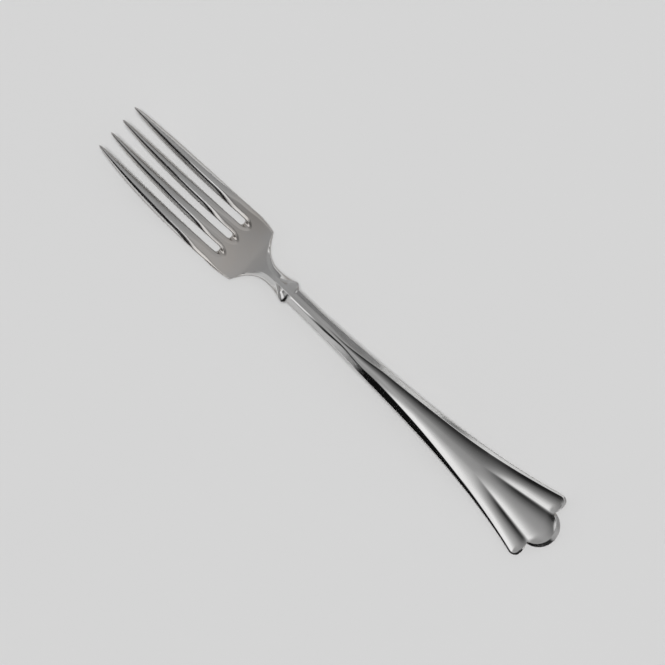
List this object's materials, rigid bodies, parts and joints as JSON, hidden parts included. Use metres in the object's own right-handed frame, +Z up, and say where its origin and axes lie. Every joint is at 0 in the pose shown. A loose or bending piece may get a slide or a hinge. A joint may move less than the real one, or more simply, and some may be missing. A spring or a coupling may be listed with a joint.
{
  "type": "dessert fork",
  "caption": "Polished silver dessert fork with slim tapering tines, a waisted neck with small spurs, and a ridged handle that opens into a hollowed, fluted fan with a lobed end.",
  "frame": {"origin": "on the table under the middle of the fork's length and width", "axes": "+X along the fork from the tine tips to the fan end, +Y to the eater's right, +Z up from the table, face of the fork up"},
  "size_m": [0.17, 0.0222, 0.012],
  "materials": {
    "silver": "polished table silver with fine wear scratches and a slight warm tarnish"
  },
  "bodies": {
    "root": {"outer_left_tine": "silver", "inner_left_tine": "silver", "inner_right_tine": "silver", "outer_right_tine": "silver", "palm": "silver", "neck": "silver", "stem": "silver", "hollow_shank": "silver", "fan_end": "silver"}
  },
  "joints": []
}
